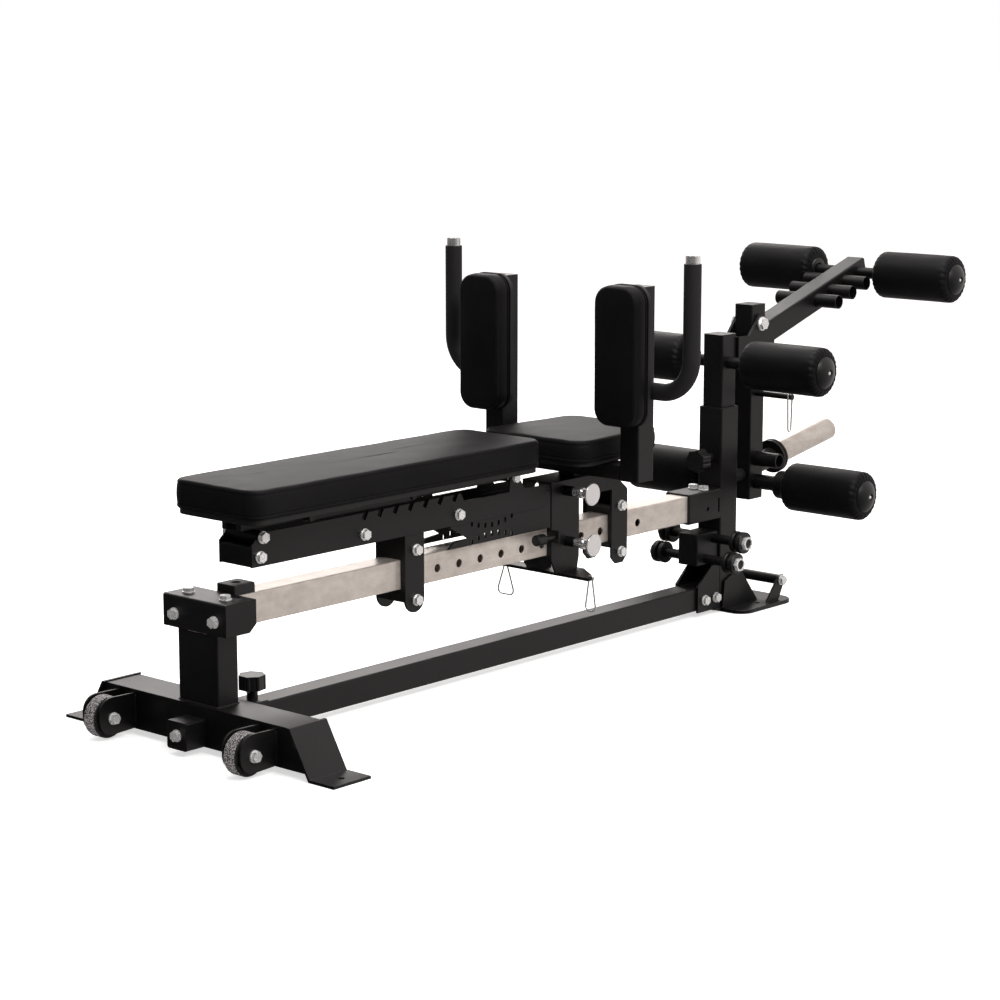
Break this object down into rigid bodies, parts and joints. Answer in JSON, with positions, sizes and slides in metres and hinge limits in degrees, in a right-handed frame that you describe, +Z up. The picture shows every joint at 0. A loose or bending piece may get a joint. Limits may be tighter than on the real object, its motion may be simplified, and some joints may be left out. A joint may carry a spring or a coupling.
{
  "type": "roman chair",
  "caption": "Floor-standing roman chair and leg developer: a bench with reclining back slides on a steel rail between a wheeled foot and a tower with foam rollers.",
  "frame": {"origin": "on the floor, in the middle of the overall length and width", "axes": "+X along the rail from the wheels to the tower, +Y to the far side, +Z up"},
  "size_m": [2.1128, 0.69, 0.81],
  "materials": {
    "frame_black": "satin powder coat",
    "rail_steel": "fine brushed",
    "tube_chrome": "polished",
    "bolt_zinc": "bright zinc plated",
    "pad_vinyl": "grained, semi-matt",
    "foam_sleeve": "soft, matt",
    "grip_foam": "soft, matt",
    "knob_plastic": "moulded",
    "bumper_rubber": "matt",
    "wheel_rubber": "worn, speckled",
    "board_black": "matt",
    "liner_nylon": "smooth"
  },
  "bodies": {
    "frame": {"front_crossbeam": "frame_black", "front_post": "frame_black", "post_cap": "frame_black", "rail_bumper": "bumper_rubber", "main_rail": "rail_steel", "lower_rail": "frame_black", "tower_tube": "frame_black", "rail_bracket": "frame_black", "peg_block": "frame_black", "band_pegs": "frame_black", "peg_spools": "knob_plastic", "base_plate": "frame_black", "tower_gussets": "frame_black", "lift_handle": "frame_black", "frame_bolts": "bolt_zinc"},
    "near_wheel": {"wheel_near": "wheel_rubber"},
    "far_wheel": {"wheel_far": "wheel_rubber"},
    "front_lock": {"lock_knob": "knob_plastic"},
    "tower_lock": {"tower_knob": "knob_plastic"},
    "tower_head": {"telescoping_tube": "frame_black", "pivot_bolt": "bolt_zinc", "middle_axle": "frame_black"},
    "leg_developer": {"swing_tube": "frame_black", "developer_arm": "frame_black", "top_axle": "frame_black", "low_axle": "frame_black", "horn_flange": "frame_black", "weight_horn": "rail_steel", "swing_bumper": "bumper_rubber"},
    "top_roller_near": {"roller_top_near": "foam_sleeve"},
    "top_roller_far": {"roller_top_far": "foam_sleeve"},
    "middle_roller_near": {"roller_middle_near": "foam_sleeve"},
    "middle_roller_far": {"roller_middle_far": "foam_sleeve"},
    "low_roller_near": {"roller_low_near": "foam_sleeve"},
    "low_roller_far": {"roller_low_far": "foam_sleeve"},
    "bench": {"ladder_plates": "frame_black", "bench_spacers": "frame_black", "back_hinge_pin": "bolt_zinc", "link_plates": "frame_black", "front_carriage": "frame_black", "seat_carriage": "frame_black", "glide_liners": "liner_nylon", "band_shelf": "frame_black", "bench_bolts": "bolt_zinc", "seat_pad": "pad_vinyl", "pad_frame": "frame_black", "pad_boards": "board_black", "split_pad_near": "pad_vinyl", "split_pad_far": "pad_vinyl", "handle_bars": "tube_chrome", "handle_grips": "grip_foam"},
    "rail_pin": {"rail_pull_pin": "tube_chrome"},
    "seat_pin": {"seat_pull_pin": "tube_chrome"},
    "clamp_screw": {"play_screw": "knob_plastic"},
    "backrest": {"back_pad": "pad_vinyl", "back_pad_frame": "frame_black"},
    "prop": {"ladder_prop": "frame_black"},
    "near_shelf_clip": {"shelf_clip_near": "tube_chrome"},
    "far_shelf_clip": {"shelf_clip_far": "tube_chrome"},
    "developer_clip": {"peg_clip": "tube_chrome"}
  },
  "joints": [
    {"name": "bench_slide", "type": "slide", "parent": "frame", "child": "bench", "axis": [1, 0, 0], "range_m": [-0.36, 0.18]},
    {"name": "backrest_tilt", "type": "hinge", "parent": "bench", "child": "backrest", "pos_m": [-0.17693, 0, 0.382], "axis": [0, 1, 0], "range_deg": [0, 72]},
    {"name": "prop_fold", "type": "hinge", "parent": "backrest", "child": "prop", "pos_m": [-0.45193, 0, 0.382], "axis": [0, 1, 0], "range_deg": [-144, 0]},
    {"name": "tower_slide", "type": "slide", "parent": "frame", "child": "tower_head", "axis": [0, 0, 1], "range_m": [-0.07, 0.07]},
    {"name": "developer_swing", "type": "hinge", "parent": "tower_head", "child": "leg_developer", "pos_m": [0.63107, 0, 0.608], "axis": [0, -1, 0], "range_deg": [0, 90]},
    {"name": "near_wheel_spin", "type": "hinge", "parent": "frame", "child": "near_wheel", "pos_m": [-1.01893, -0.1805, 0.04], "axis": [0, 1, 0], "continuous": true},
    {"name": "far_wheel_spin", "type": "hinge", "parent": "frame", "child": "far_wheel", "pos_m": [-1.01893, 0.1805, 0.04], "axis": [0, 1, 0], "continuous": true},
    {"name": "top_roller_near_spin", "type": "hinge", "parent": "leg_developer", "child": "top_roller_near", "pos_m": [1.00493, -0.181, 0.68988], "axis": [0, 1, 0], "continuous": true},
    {"name": "top_roller_far_spin", "type": "hinge", "parent": "leg_developer", "child": "top_roller_far", "pos_m": [1.00493, 0.181, 0.68988], "axis": [0, 1, 0], "continuous": true},
    {"name": "middle_roller_near_spin", "type": "hinge", "parent": "tower_head", "child": "middle_roller_near", "pos_m": [0.52507, -0.175, 0.534], "axis": [0, 1, 0], "continuous": true},
    {"name": "middle_roller_far_spin", "type": "hinge", "parent": "tower_head", "child": "middle_roller_far", "pos_m": [0.52507, 0.175, 0.534], "axis": [0, 1, 0], "continuous": true},
    {"name": "low_roller_near_spin", "type": "hinge", "parent": "leg_developer", "child": "low_roller_near", "pos_m": [0.63107, -0.211, 0.266], "axis": [0, 1, 0], "continuous": true},
    {"name": "low_roller_far_spin", "type": "hinge", "parent": "leg_developer", "child": "low_roller_far", "pos_m": [0.63107, 0.211, 0.266], "axis": [0, 1, 0], "continuous": true},
    {"name": "front_lock_pull", "type": "slide", "parent": "frame", "child": "front_lock", "axis": [0, 0, 1], "range_m": [0, 0.018], "stiffness_N_per_m": 300, "springref_m": -0.006},
    {"name": "tower_lock_push", "type": "slide", "parent": "frame", "child": "tower_lock", "axis": [1, 0, 0], "range_m": [0, 0.01]},
    {"name": "rail_pin_push", "type": "slide", "parent": "bench", "child": "rail_pin", "axis": [0, 1, 0], "range_m": [0, 0.012]},
    {"name": "seat_pin_push", "type": "slide", "parent": "bench", "child": "seat_pin", "axis": [0, 1, 0], "range_m": [0, 0.012]},
    {"name": "clamp_screw_turn", "type": "hinge", "parent": "bench", "child": "clamp_screw", "pos_m": [-0.10493, -0.046, 0.25], "axis": [1, 0, 0], "continuous": true},
    {"name": "near_shelf_clip_swing", "type": "hinge", "parent": "bench", "child": "near_shelf_clip", "pos_m": [-0.03193, -0.1107, 0.169], "axis": [1, 0, 0], "range_deg": [-12, 12]},
    {"name": "far_shelf_clip_swing", "type": "hinge", "parent": "bench", "child": "far_shelf_clip", "pos_m": [-0.03193, 0.1107, 0.169], "axis": [1, 0, 0], "range_deg": [-12, 12]},
    {"name": "developer_clip_swing", "type": "hinge", "parent": "leg_developer", "child": "developer_clip", "pos_m": [0.62707, -0.111, 0.458], "axis": [0, 1, 0], "range_deg": [-80, 80]}
  ],
  "couplings": [
    {"joint": "prop_fold", "follows": "backrest_tilt", "ratio": -2}
  ]
}
